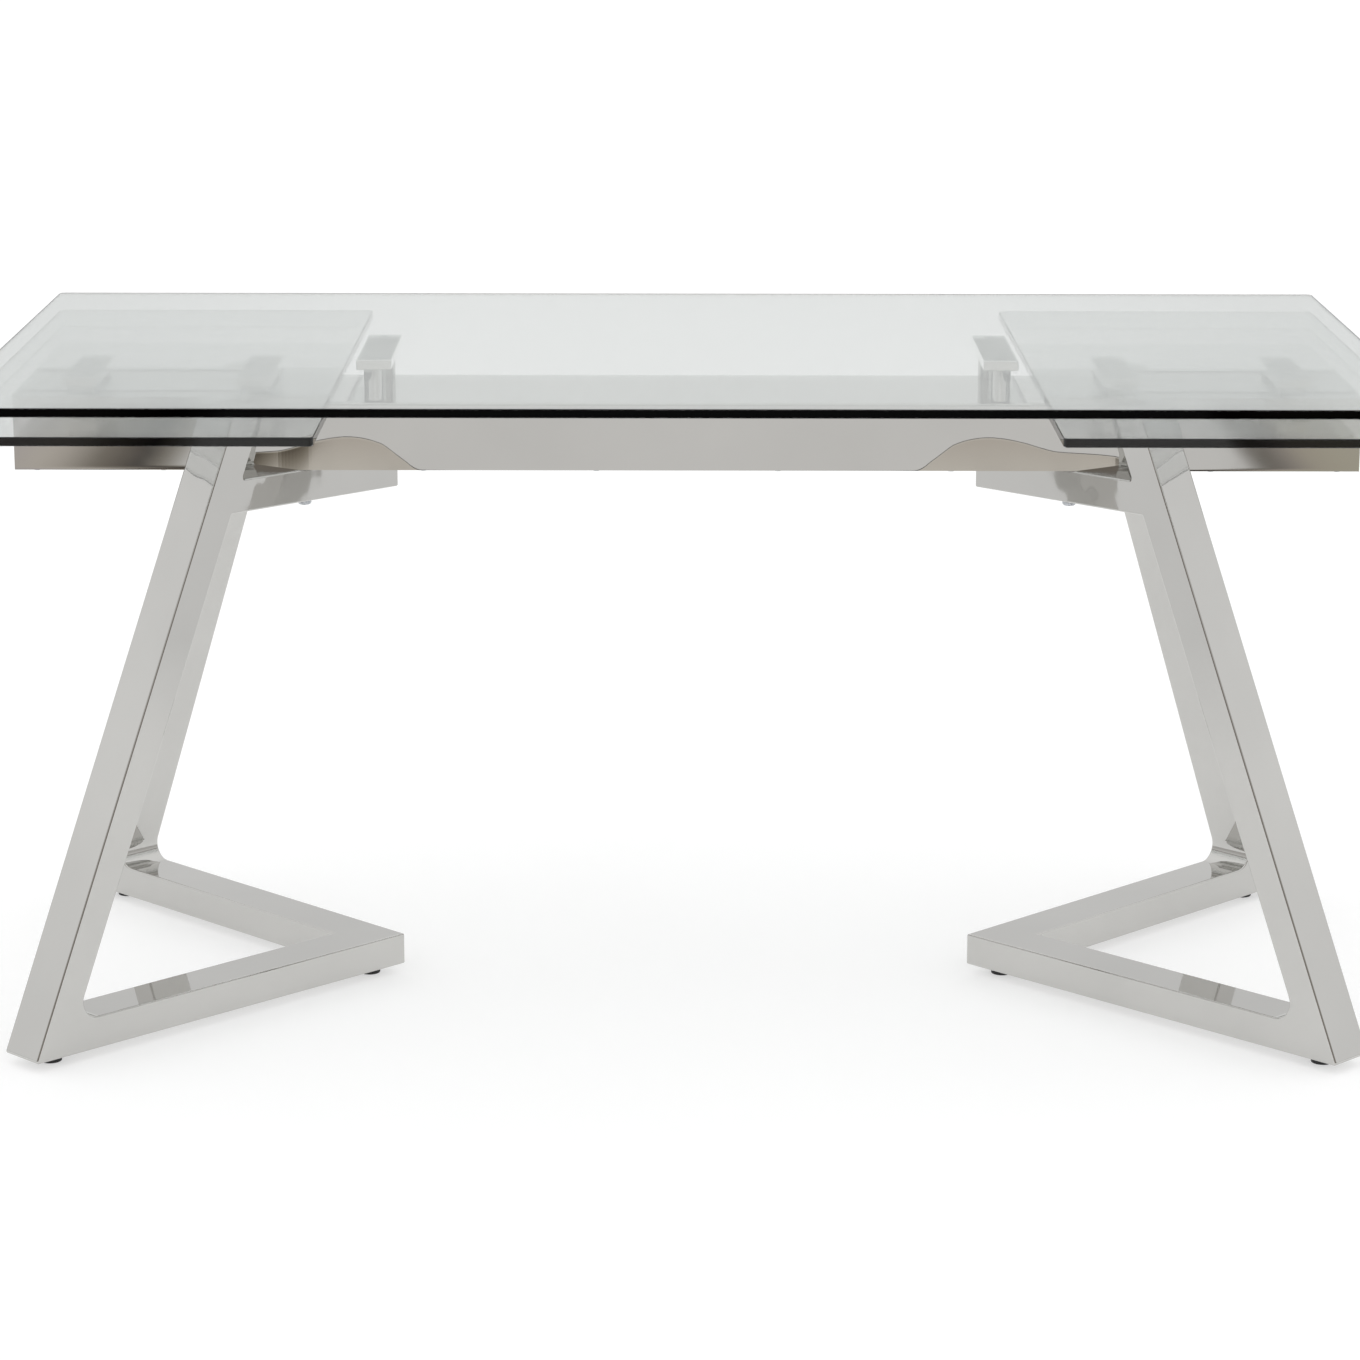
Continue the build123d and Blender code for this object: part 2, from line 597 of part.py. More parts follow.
for side_name, side in SIDES.items():
    parts[f"{side_name}_leaf_glass"] = [on_side(glass_sheet(LEAF_LENGTH, leaf_middle, leaf_top), side)]
    parts[f"top_support_bar_{side_name}"] = [on_side(top_support_bar(), side)]
    parts[f"top_support_posts_{side_name}"] = [on_side(post, side) for post in support_posts()]
    parts["post_top_screws"] += [on_side(piece, side) for piece in post_top_screws()]
    parts["post_base_screws"] += [on_side(piece, side) for piece in post_base_screws()]
    parts[f"beam_end_cap_{side_name}"] = [on_side(beam_end_cap(), side)]
    for name, x in zip(("inner", "outer"), leaf_bar_xs):
        parts[f"{side_name}_leaf_bar_{name}"] = [on_side(leaf_support_bar(x), side)]
    parts[f"{side_name}_arm_plugs"] = []
    parts[f"{side_name}_tail_blocks"] = []
    parts[f"{side_name}_leaf_spacers"] = []
    parts[f"{side_name}_arm_screws"] = []
    for face_name, face in FACES.items():
        place = f"{side_name}_{face_name}"
        parts[f"{place}_guide_channel"] = [on_face(on_side(guide_channel(), side), face)]
        parts[f"{place}_guide_blocks"] = [on_face(on_side(piece, side), face) for piece in guide_blocks()]
        parts[f"{place}_slide_arm"] = [on_face(on_side(slide_arm(), side), face)]
        parts[f"{side_name}_arm_plugs"].append(on_face(on_side(arm_end_plug(), side), face))
        parts[f"{side_name}_tail_blocks"].append(on_face(on_side(tail_block(), side), face))
        for x in leaf_bar_xs:
            parts[f"{side_name}_leaf_spacers"].append(on_face(on_side(leaf_spacer(x), side), face))
            parts[f"{side_name}_arm_screws"].append(on_face(on_side(arm_screw(x), side), face))
        for tube_name, tube in tubes.items():
            parts[f"{place}_{tube_name}"] = [on_face(on_side(tube, side), face)]
    parts[f"leg_nut_plate_{side_name}"] = [on_side(nut_plate(), side)]
    parts[f"leg_bolts_{side_name}"] = [on_side(bolt, side) for bolt in leg_bolts()]
    parts[f"foot_pads_{side_name}"] = [on_side(foot_pad(x, y), side) for x, y in pad_places()]
    parts["foot_pad_screws"] += [on_side(pad_screw(x, y), side) for x, y in pad_places()]

# ---------------------------------------------------------------- output
os.makedirs("parts", exist_ok=True)
for name, pieces in parts.items():
    solids = [solid for piece in pieces for solid in piece.solids()]
    export_step(Compound(children=solids) if len(solids) > 1 else solids[0], f"parts/{name}.step")
print(len(parts), "nodes written")
print("nose at", round(nose_x, 1), "lean", round(math.degrees(lean), 2), "beam top", beam_top)
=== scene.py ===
"""The looks of the extendable glass dining table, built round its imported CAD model.

Laid out as an add-on: each finish or group of pieces has an operator, and main() runs them in
order. Lengths are in metres unless a name ends in MM. +X runs along the table, +Z is up, and
the front faces -Y.
"""

import math

import bmesh
import bpy
from mathutils import Matrix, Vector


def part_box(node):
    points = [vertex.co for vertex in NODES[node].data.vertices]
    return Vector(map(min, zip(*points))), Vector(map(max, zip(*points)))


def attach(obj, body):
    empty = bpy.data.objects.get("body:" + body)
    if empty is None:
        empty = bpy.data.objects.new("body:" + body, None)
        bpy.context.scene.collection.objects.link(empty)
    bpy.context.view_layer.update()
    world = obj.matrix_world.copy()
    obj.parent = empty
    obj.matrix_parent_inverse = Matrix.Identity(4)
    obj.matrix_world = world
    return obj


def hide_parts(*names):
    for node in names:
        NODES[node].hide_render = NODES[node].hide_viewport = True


bl_info = {
    "name": "Extendable Glass Dining Table",
    "version": (1, 0, 0),
    "blender": (4, 5, 0),
    "location": "3D View > Sidebar > Table",
    "description": "Finishes the packed dining table: glass, polished steel legs, slides and the studio",
    "category": "Object",
}

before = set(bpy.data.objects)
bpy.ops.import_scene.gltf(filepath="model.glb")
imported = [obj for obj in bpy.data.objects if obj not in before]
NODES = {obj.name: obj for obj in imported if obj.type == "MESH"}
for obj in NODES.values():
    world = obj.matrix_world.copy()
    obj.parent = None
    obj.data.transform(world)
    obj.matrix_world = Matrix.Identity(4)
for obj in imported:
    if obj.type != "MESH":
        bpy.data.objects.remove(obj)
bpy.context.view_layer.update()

SIDES = ("left", "right")
FACES = ("front", "rear")
MM = 0.001

# The fold that welding leaves in the beam's sides
FOLD_LINE = (                   # distance from the middle of the table, share of the rise
    (0.286, 0), (0.302, 0.2), (0.329, 0.8), (0.37, 1), (0.413, 0.78), (0.448, 0.5), (0.518, 0.5), (0.548, 0))
FOLD_RISE = 0.042               # of the hump above the beam's lower edge
FOLD_SHIFT = 0.022              # the two folds are not quite mirror images
FOLD_SLOPE = 0.03               # rise over run
FOLD_SOFTNESS = 0.0035          # how gently the fold starts
NECK_RIPPLE = (0.56, 0.63)      # heights between which the weld ripples set in
NECK_RIPPLE_DEPTH = 0.0004
ADHESIVE_FILM = 0.0003          # clear adhesive between the glass and the bars

# Patterns in the finishes: a shade is the dark parts' share of the colour
BUFFED_SHADE = 0.95
BRUSHED_SHADE = 0.82
ZINC_SHADE = 0.8
BRUSHED_DEPTH = 0.00002         # of the streaks
GRAIN_DEPTH = 0.0001            # of the grain on the black mouldings
GRAIN_GAIN = 1.6                # how much paler the pale grains are, before the lift is added
GRAIN_LIFT = 0.004
GRAIN_SPREAD = 0.08             # of roughness, either way

# The studio as polished metal and glass see it: depth in front of the table, metres across it, and
# height, from 0 at the horizon to 1 overhead, each with a colour or a grey level
SENSOR_MM = 36
FLOOR_DROP = 0.0003             # of the floor below the pads
FLOOR_SEGMENTS = 128
ROOM_DEPTH = 10.0
ROOM_SIDE = 3.0                 # to each side
# Painted light falloff and shadow in the floor that reflections see: the paper dims from the table towards the
# camera, and the dark band where it ends is a painted shadow of its edge. Past it the warm floor grows darker
# further away
FLOOR_DEPTH_TONES_WITH_PAINTED_SHADE = (
    (0.0, "#f8f8f8"), (2.0, "#f6f6f6"), (3.4, "#e0dfde"), (4.72, "#e0dfde"), (4.76, 0.06), (5.08, 0.08),
    (5.14, "#dad5cd"), (7.5, "#a89c90"), (9.5, 0.12))
FLOOR_SIDES = (
    (-2.4, 0.75), (-1.39, "#dad4d2"), (-1.32, "#e2dcd4"), (-1.26, "#cfc9c1"), (-1.20, "#9a948b"),
    (-1.13, "#746d67"), (-1.105, 0.07), (-1.075, "#8f8980"), (-1.04, "#bab7b0"), (-1.0, 1.0), (1.16, 1.0),
    (1.175, "#908c85"), (1.21, "#8a8680"), (1.25, "#aba49f"), (1.29, "#cac3b5"), (1.35, "#cdc8b8"), (2.4, 0.75))
# Painted light falloff: near the table, the floor that reflections see dims to each side, away from the lights
FLOOR_PAINTED_FALLOFF = ((-1.5, 0.82), (-0.6, 1.0), (0.6, 1.0), (1.5, 0.82))
FLOOR_SIDES_START = (-2.3, -2.9)
WALL_BEHIND = (
    (0.0, "#dadcdb"), (0.165, "#dadcdb"), (0.19, 0.80), (0.25, 0.785), (0.29, 0.69), (0.32, 0.69), (0.4, 0.74),
    (0.5, 0.85), (1.0, 1.0))
WALL_BESIDE = (
    (0.0, "#dadcdb"), (0.165, 0.78), (0.19, 0.81), (0.25, 0.88), (0.34, 0.83), (0.5, 0.85), (1.0, 1.0))
WALL_IN_FRONT = ((0.0, "#7d756c"), (0.3, "#8c8781"), (0.55, 0.85), (1.0, 1.0))
WALL_TURN_SIDEWAYS = (0.5, 0.8)
WALL_TURN_FORWARD = (0.0, -0.35)

# A colour mix node has several sockets of each name, so its sockets go by number
MIX_FACTOR, MIX_A, MIX_B, MIX_RESULT = 0, 6, 7, 2


# ---------------------------------------------------------------- colour and nodes
def linear(hex_colour):
    """An sRGB hex colour such as "#c8c5c0" as linear red, green, blue and alpha."""
    channels = [int(hex_colour[i:i + 2], 16) / 255 for i in (1, 3, 5)]
    curve = [c / 12.92 if c <= 0.04045 else ((c + 0.055) / 1.055) ** 2.4 for c in channels]
    return (*curve, 1.0)


def srgb_default(hex_colour):
    """The three channels that a colour property takes as its default."""
    return linear(hex_colour)[:3]


def wire(node, inputs):
    """Sets a node's inputs, each to a value or from another node's socket."""
    for key, value in inputs.items():
        if isinstance(value, bpy.types.NodeSocket):
            node.id_data.links.new(value, node.inputs[key])
        else:
            node.inputs[key].default_value = value


def add(tree, kind, inputs=None, stops=(), **settings):
    """Adds a node. Settings are its attributes, and inputs are as wire() takes them.

    Stops fill a colour ramp, each as a position and a colour, hex colour or grey level.
    """
    node = tree.nodes.new(kind)
    for name, value in settings.items():
        setattr(node, name, value)
    for index, (position, colour) in enumerate(stops):
        elements = node.color_ramp.elements
        element = elements[index] if index < 2 else elements.new(position)
        if isinstance(colour, str):
            colour = linear(colour)
        element.position = position
        element.color = colour if isinstance(colour, tuple) else (colour, colour, colour, 1)
    wire(node, inputs or {})
    return node


def new_material(name):
    """An empty node material and its tree, with a Principled shader wired to the output."""
    material = bpy.data.materials.new(name)
    material.use_nodes = True
    tree = material.node_tree
    tree.nodes.clear()
    shader = add(tree, "ShaderNodeBsdfPrincipled")
    output = add(tree, "ShaderNodeOutputMaterial", {"Surface": shader.outputs["BSDF"]})
    return material, tree, shader, output


def pattern(tree, size_mm, detail, stretch=(1, 1, 1)):
    """A noise pattern whose blobs are about size_mm across on the real piece."""
    place = add(tree, "ShaderNodeTexCoord").outputs["Object"]
    scaled = add(tree, "ShaderNodeMapping", {"Vector": place, "Scale": stretch}).outputs["Vector"]
    noise = add(tree, "ShaderNodeTexNoise", {"Vector": scaled, "Scale": 1 / (size_mm * MM), "Detail": detail})
    return noise.outputs["Fac"]


def shaded(colour, share):
    """A colour darkened to a share of itself, with full alpha."""
    return (*(channel * share for channel in colour), 1)


# ---------------------------------------------------------------- sizes and colours
class TableFinish(bpy.types.PropertyGroup):
    """Colours and surface values of the table's finishes."""

    steel_colour: bpy.props.FloatVectorProperty(
        name="Polished steel", description="Reflected colour of the mirror-polished stainless steel",
        subtype="COLOR", size=3, min=0, max=1, default=srgb_default("#cecdca"))
    steel_roughness: bpy.props.FloatProperty(
        name="Polish", description="Roughness of the mirror polish", default=0.035, min=0, max=1)
    sheet_wave_height: bpy.props.FloatProperty(
        name="Sheet wave", description="Height of the slow waves that polishing leaves in thin sheet",
        default=0.00005, min=0, unit="LENGTH", precision=6)
    bar_colour: bpy.props.FloatVectorProperty(
        name="Bright bars", description="Reflected colour of the bright flat bars under the glass",
        subtype="COLOR", size=3, min=0, max=1, default=srgb_default("#f2f2f0"))
    bar_roughness: bpy.props.FloatProperty(
        name="Bar finish", description="Roughness of the bright flat bars", default=0.14, min=0, max=1)
    satin_colour: bpy.props.FloatVectorProperty(
        name="Satin steel", description="Reflected colour of the unpolished steel inside the beam",
        subtype="COLOR", size=3, min=0, max=1, default=srgb_default("#c4c3c1"))
    zinc_colour: bpy.props.FloatVectorProperty(
        name="Screw zinc", description="Reflected colour of the zinc plating on the screws",
        subtype="COLOR", size=3, min=0, max=1, default=srgb_default("#c9ccd0"))
    nylon_colour: bpy.props.FloatVectorProperty(
        name="Nylon", description="Colour of the moulded nylon guides and plugs",
        subtype="COLOR", size=3, min=0, max=1, default=srgb_default("#1c1c1d"))
    rubber_colour: bpy.props.FloatVectorProperty(
        name="Rubber", description="Colour of the moulded rubber foot pads",
        subtype="COLOR", size=3, min=0, max=1, default=srgb_default("#161616"))
    glass_tint: bpy.props.FloatVectorProperty(
        name="Glass tint", description="Colour that is left after light has crossed the tint distance",
        subtype="COLOR", size=3, min=0, max=1, default=srgb_default("#6d8a80"))
    glass_density: bpy.props.FloatProperty(
        name="Glass tint density", description="Absorption of the glass, per metre", default=8.0, min=0)
    glass_ior: bpy.props.FloatProperty(
        name="Glass IOR", description="Refractive index of soda-lime float glass", default=1.52, min=1)


class TableStudio(bpy.types.PropertyGroup):
    """Camera and studio settings."""

    lens: bpy.props.FloatProperty(
        name="Lens", description="Focal length for a 36 mm sensor", default=107.85, min=10,
        subtype="DISTANCE_CAMERA")
    camera_place: bpy.props.FloatVectorProperty(
        name="Camera place", description="Where the camera stands", subtype="TRANSLATION", size=3,
        unit="LENGTH", default=(-0.01778, -4.73231, 1.47899))
    camera_pitch: bpy.props.FloatProperty(
        name="Camera pitch", description="How far the camera looks down", subtype="ANGLE", default=0.231315)
    camera_yaw: bpy.props.FloatProperty(
        name="Camera yaw", description="How far the camera looks to +X", subtype="ANGLE", default=0.0021534)
    camera_roll: bpy.props.FloatProperty(
        name="Camera roll", description="Clockwise tilt of the camera", subtype="ANGLE", default=-0.0018579)
    floor_colour: bpy.props.FloatVectorProperty(
        name="Floor", description="Colour of the studio floor", subtype="COLOR", size=3, min=0, max=1,
        default=srgb_default("#c4c4c4"))
    floor_glow: bpy.props.FloatProperty(
        name="Floor glow", description="Light that the lit-through floor gives off", default=0.5, min=0)
    floor_radius: bpy.props.FloatProperty(
        name="Floor radius", description="Radius of the round studio floor", default=60.0, min=1,
        unit="LENGTH")
    studio_light: bpy.props.FloatProperty(
        name="Studio light", description="Brightness of the white studio round the table", default=1.06, min=0)


# ---------------------------------------------------------------- materials
def sheet_waves(tree, height, size_mm):
    """Slow waves in polished sheet, as a normal."""
    waves = pattern(tree, size_mm, detail=1)
    bump = add(tree, "ShaderNodeBump", {"Height": waves, "Distance": height, "Strength": 1.0})
    return bump.outputs["Normal"]


def weld_fold(tree, normal):
    """The shallow fold that the heat of the leg welds leaves along the foot of each beam side.

    Below the fold line the sheet leans by about 2 degrees. The line climbs from the beam's lower
    edge to a hump beside the leg, and falls to a shoulder behind it.
    """
    place = add(tree, "ShaderNodeTexCoord").outputs["Object"]
    axes = add(tree, "ShaderNodeSeparateXYZ", {"Vector": place})
    shifted = add(tree, "ShaderNodeMath", {0: axes.outputs["X"], 1: FOLD_SHIFT}).outputs["Value"]
    along = add(tree, "ShaderNodeMath", {0: shifted}, operation="ABSOLUTE").outputs["Value"]
    line = add(tree, "ShaderNodeValToRGB", {"Fac": along}, FOLD_LINE)
    line.color_ramp.interpolation = "B_SPLINE"
    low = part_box("beam_shell")[0][2]
    rise = {0: line.outputs["Color"], 1: FOLD_RISE, 2: low}
    top = add(tree, "ShaderNodeMath", rise, operation="MULTIPLY_ADD").outputs["Value"]
    below = add(tree, "ShaderNodeMath", {0: top, 1: axes.outputs["Z"]}, operation="SUBTRACT").outputs["Value"]
    softened = {0: below, 1: 0.0, 2: FOLD_SOFTNESS}
    depth = add(tree, "ShaderNodeMath", softened, operation="SMOOTH_MAX").outputs["Value"]
    bump = add(tree, "ShaderNodeBump", {
        "Height": depth, "Distance": FOLD_SLOPE, "Strength": 1.0, "Normal": normal})
    return bump.outputs["Normal"]


def weld_ripple(tree, normal):
    """The tighter ripples round the welds at the head of a leg."""
    place = add(tree, "ShaderNodeTexCoord").outputs["Object"]
    height = add(tree, "ShaderNodeSeparateXYZ", {"Vector": place}).outputs["Z"]
    start, full = NECK_RIPPLE
    limits = {"Value": height, "From Min": start, "From Max": full}
    near = add(tree, "ShaderNodeMapRange", limits, interpolation_type="SMOOTHSTEP").outputs["Result"]
    ripples = {0: pattern(tree, size_mm=48, detail=1), 1: near}
    ripple = add(tree, "ShaderNodeMath", ripples, operation="MULTIPLY").outputs["Value"]
    bump = add(tree, "ShaderNodeBump", {
        "Height": ripple, "Distance": NECK_RIPPLE_DEPTH, "Strength": 1.0, "Normal": normal})
    return bump.outputs["Normal"]


def bright_metal(name, colour, roughness, wave_size_mm, wave_share, welds=None):
    """A buffed metal: to the eye, a mirror or near it, with soft patches in its tone and polish.

    The share is of the sheet waves' full height. Welds, where given, shape the normal further.
    """
    finish = bpy.context.scene.table_finish
    material, tree, shader, _ = new_material(name)
    tone = add(tree, "ShaderNodeValToRGB", {"Fac": pattern(tree, size_mm=140, detail=3)}, [
        (0.3, shaded(colour, BUFFED_SHADE)), (0.7, shaded(colour, 1))])
    polish = add(tree, "ShaderNodeValToRGB", {"Fac": pattern(tree, size_mm=60, detail=5)}, [
        (0.35, roughness * 0.6), (0.75, roughness * 1.6)])
    normal = sheet_waves(tree, finish.sheet_wave_height * wave_share, wave_size_mm)
    if welds:
        normal = welds(tree, normal)
    wire(shader, {
        "Base Color": tone.outputs["Color"], "Roughness": polish.outputs["Color"], "Metallic": 1.0,
        "Normal": normal})
    return material


def polished_stainless(name, wave_size_mm, wave_share, welds=None):
    """Mirror-polished stainless steel, buffed after welding.

    To the eye it is a light grey mirror. Buffing leaves slow waves that bend reflections, and the
    polish is a little duller in soft patches.
    """
    finish = bpy.context.scene.table_finish
    return bright_metal(name, finish.steel_colour, finish.steel_roughness, wave_size_mm, wave_share, welds)


def satin_steel():
    """Cold-rolled steel, satin brushed along its length.

    To the eye it is a soft grey with fine streaks along X. The streaks are drawn 0.8 mm apart,
    coarser than real brushing, so that they show.
    """
    colour = bpy.context.scene.table_finish.satin_colour
    material, tree, shader, _ = new_material("satin_brushed_steel")
    streaks = pattern(tree, size_mm=0.8, detail=3, stretch=(0.02, 1, 1))
    tone = add(tree, "ShaderNodeValToRGB", {"Fac": streaks}, [
        (0.3, shaded(colour, BRUSHED_SHADE)), (0.7, shaded(colour, 1))])
    brushing = add(tree, "ShaderNodeValToRGB", {"Fac": streaks}, [(0.3, 0.24), (0.7, 0.36)])
    bump = add(tree, "ShaderNodeBump", {"Height": streaks, "Distance": BRUSHED_DEPTH, "Strength": 0.6})
    wire(shader, {
        "Base Color": tone.outputs["Color"], "Roughness": brushing.outputs["Color"], "Metallic": 1.0,
        "Normal": bump.outputs["Normal"]})
    return material


def zinc_plate():
    """Bright zinc-plated steel on the screws: a cool grey with faint cloudy patches."""
    colour = bpy.context.scene.table_finish.zinc_colour
    material, tree, shader, _ = new_material("zinc_plated_screw_steel")
    clouds = pattern(tree, size_mm=3, detail=3)
    tone = add(tree, "ShaderNodeValToRGB", {"Fac": clouds}, [
        (0.3, shaded(colour, ZINC_SHADE)), (0.7, shaded(colour, 1))])
    sheen = add(tree, "ShaderNodeValToRGB", {"Fac": clouds}, [(0.3, 0.18), (0.7, 0.32)])
    wire(shader, {
        "Base Color": tone.outputs["Color"], "Roughness": sheen.outputs["Color"], "Metallic": 1.0})
    return material


def moulded_black(name, colour, roughness, grain_mm, ior):
    """A moulded black part: near black, with a fine moulded grain that breaks up its highlights.

    The grain is drawn over a millimetre wide, coarser than a real mould's, so that it shows.
    """
    material, tree, shader, _ = new_material(name)
    grain = pattern(tree, grain_mm, detail=4)
    pale = (*(min(1, channel * GRAIN_GAIN + GRAIN_LIFT) for channel in colour), 1)
    tone = add(tree, "ShaderNodeValToRGB", {"Fac": grain}, [(0.35, shaded(colour, 1)), (0.75, pale)])
    gloss = add(tree, "ShaderNodeValToRGB", {"Fac": grain}, [
        (0.3, roughness - GRAIN_SPREAD), (0.7, roughness + GRAIN_SPREAD)])
    bump = add(tree, "ShaderNodeBump", {"Height": grain, "Distance": GRAIN_DEPTH, "Strength": 0.5})
    wire(shader, {
        "Base Color": tone.outputs["Color"], "Roughness": gloss.outputs["Color"], "IOR": ior,
        "Normal": bump.outputs["Normal"]})
    return material


def float_glass():
    """Clear toughened float glass with polished edges.

    Seen through its face it is clear with a breath of green. Seen into its edge, where light
    crosses the whole sheet, it is nearly black. Lamps shine through it on what lies below.
    """
    finish = bpy.context.scene.table_finish
    material, tree, shader, output = new_material("toughened_float_glass")
    smears = add(tree, "ShaderNodeValToRGB", {"Fac": pattern(tree, size_mm=90, detail=4)}, [
        (0.4, 0.0), (0.8, 0.006)])
    wire(shader, {
        "Base Color": (1, 1, 1, 1), "Transmission Weight": 1.0, "IOR": finish.glass_ior,
        "Roughness": smears.outputs["Color"]})
    clear = add(tree, "ShaderNodeBsdfTransparent", {"Color": linear("#eef4f1")})
    shadow = add(tree, "ShaderNodeLightPath").outputs["Is Shadow Ray"]
    mixed = add(tree, "ShaderNodeMixShader", {0: shadow, 1: shader.outputs["BSDF"], 2: clear.outputs["BSDF"]})
    tint = add(tree, "ShaderNodeVolumeAbsorption", {
        "Color": (*finish.glass_tint, 1), "Density": finish.glass_density})
    wire(output, {"Surface": mixed.outputs["Shader"], "Volume": tint.outputs["Volume"]})
    return material


def paint(material, *names):
    """Gives CAD nodes that material in place of their own."""
    for name in names:
        slots = NODES[name].data.materials
        slots.clear()
        slots.append(material)


# ---------------------------------------------------------------- operators
class TABLE_OT_glass(bpy.types.Operator):
    """Gives the fixed top and both leaves their clear glass"""

    bl_idname = "table.glass"
    bl_label = "Glass"

    def execute(self, context):
        paint(float_glass(), "main_glass_top", "left_leaf_glass", "right_leaf_glass")
        return {"FINISHED"}


class TABLE_OT_polished_steel(bpy.types.Operator):
    """Gives the legs, the beam and the posts their mirror polish"""

    bl_idname = "table.polished_steel"
    bl_label = "Polished Steel"

    def execute(self, context):
        tube = polished_stainless(
            "mirror_polished_stainless_tube", wave_size_mm=160, wave_share=0.5, welds=weld_ripple)
        sheet = polished_stainless(
            "mirror_polished_stainless_sheet", wave_size_mm=210, wave_share=1.0, welds=weld_fold)
        post = polished_stainless("mirror_polished_stainless_post", wave_size_mm=60, wave_share=0.3)
        for side in SIDES:
            for face in FACES:
                place = f"{side}_{face}"
                paint(tube, f"{place}_floor_tube", f"{place}_upright", f"{place}_head_tube")
            paint(sheet, f"beam_end_cap_{side}")
            paint(post, f"top_support_posts_{side}")
        paint(sheet, "beam_shell")
        return {"FINISHED"}


class TABLE_OT_bright_bars(bpy.types.Operator):
    """Makes the bright bars, each a film of clear adhesive below the glass that it carries"""

    bl_idname = "table.bright_bars"
    bl_label = "Bright Bars"

    def execute(self, context):
        finish = context.scene.table_finish
        bright = bright_metal(
            "bright_rolled_steel_bar", finish.bar_colour, finish.bar_roughness, wave_size_mm=60, wave_share=0.2)
        for side in SIDES:
            self.make_bar(context, f"top_support_bar_{side}", "base", bright)
            self.make_bar(context, f"{side}_leaf_bar_inner", f"{side}_leaf", bright)
            self.make_bar(context, f"{side}_leaf_bar_outer", f"{side}_leaf", bright)
        return {"FINISHED"}

    def make_bar(self, context, name, body, bright):
        """One bar with its holes, its glass side lowered by the adhesive film."""
        mesh = NODES[name].data.copy()
        glass_side = max(vertex.co.z for vertex in mesh.vertices)
        for vertex in mesh.vertices:
            if glass_side - vertex.co.z < ADHESIVE_FILM:
                vertex.co.z = glass_side - ADHESIVE_FILM
        mesh.materials.clear()
        mesh.materials.append(bright)
        bar = bpy.data.objects.new(f"{name}_bright", mesh)
        context.scene.collection.objects.link(bar)
        bar.matrix_world = NODES[name].matrix_world.copy()
        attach(bar, body)
        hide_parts(name)


class TABLE_OT_slides(bpy.types.Operator):
    """Finishes the slides, their guides, the bottom cover and the screws"""

    bl_idname = "table.slides"
    bl_label = "Slides and Screws"

    def execute(self, context):
        finish = context.scene.table_finish
        satin = satin_steel()
        nylon = moulded_black(
            "moulded_black_nylon", finish.nylon_colour, roughness=0.42, grain_mm=1.5, ior=1.53)
        paint(satin, "beam_bottom_cover")
        for side in SIDES:
            paint(satin, f"leg_nut_plate_{side}", f"{side}_leaf_spacers")
            paint(nylon, f"{side}_arm_plugs", f"{side}_tail_blocks")
            for face in FACES:
                place = f"{side}_{face}"
                paint(satin, f"{place}_slide_arm", f"{place}_guide_channel")
                paint(nylon, f"{place}_guide_blocks")
        zinc = zinc_plate()
        paint(zinc, "cover_screws", "post_top_screws", "post_base_screws", "foot_pad_screws")
        for side in SIDES:
            paint(zinc, f"{side}_arm_screws", f"leg_bolts_{side}")
        return {"FINISHED"}


class TABLE_OT_foot_pads(bpy.types.Operator):
    """Finishes the rubber foot pads"""

    bl_idname = "table.foot_pads"
    bl_label = "Foot Pads"

    def execute(self, context):
        finish = context.scene.table_finish
        rubber = moulded_black(
            "moulded_black_rubber", finish.rubber_colour, roughness=0.6, grain_mm=1.2, ior=1.52)
        for side in SIDES:
            paint(rubber, f"foot_pads_{side}")
        return {"FINISHED"}


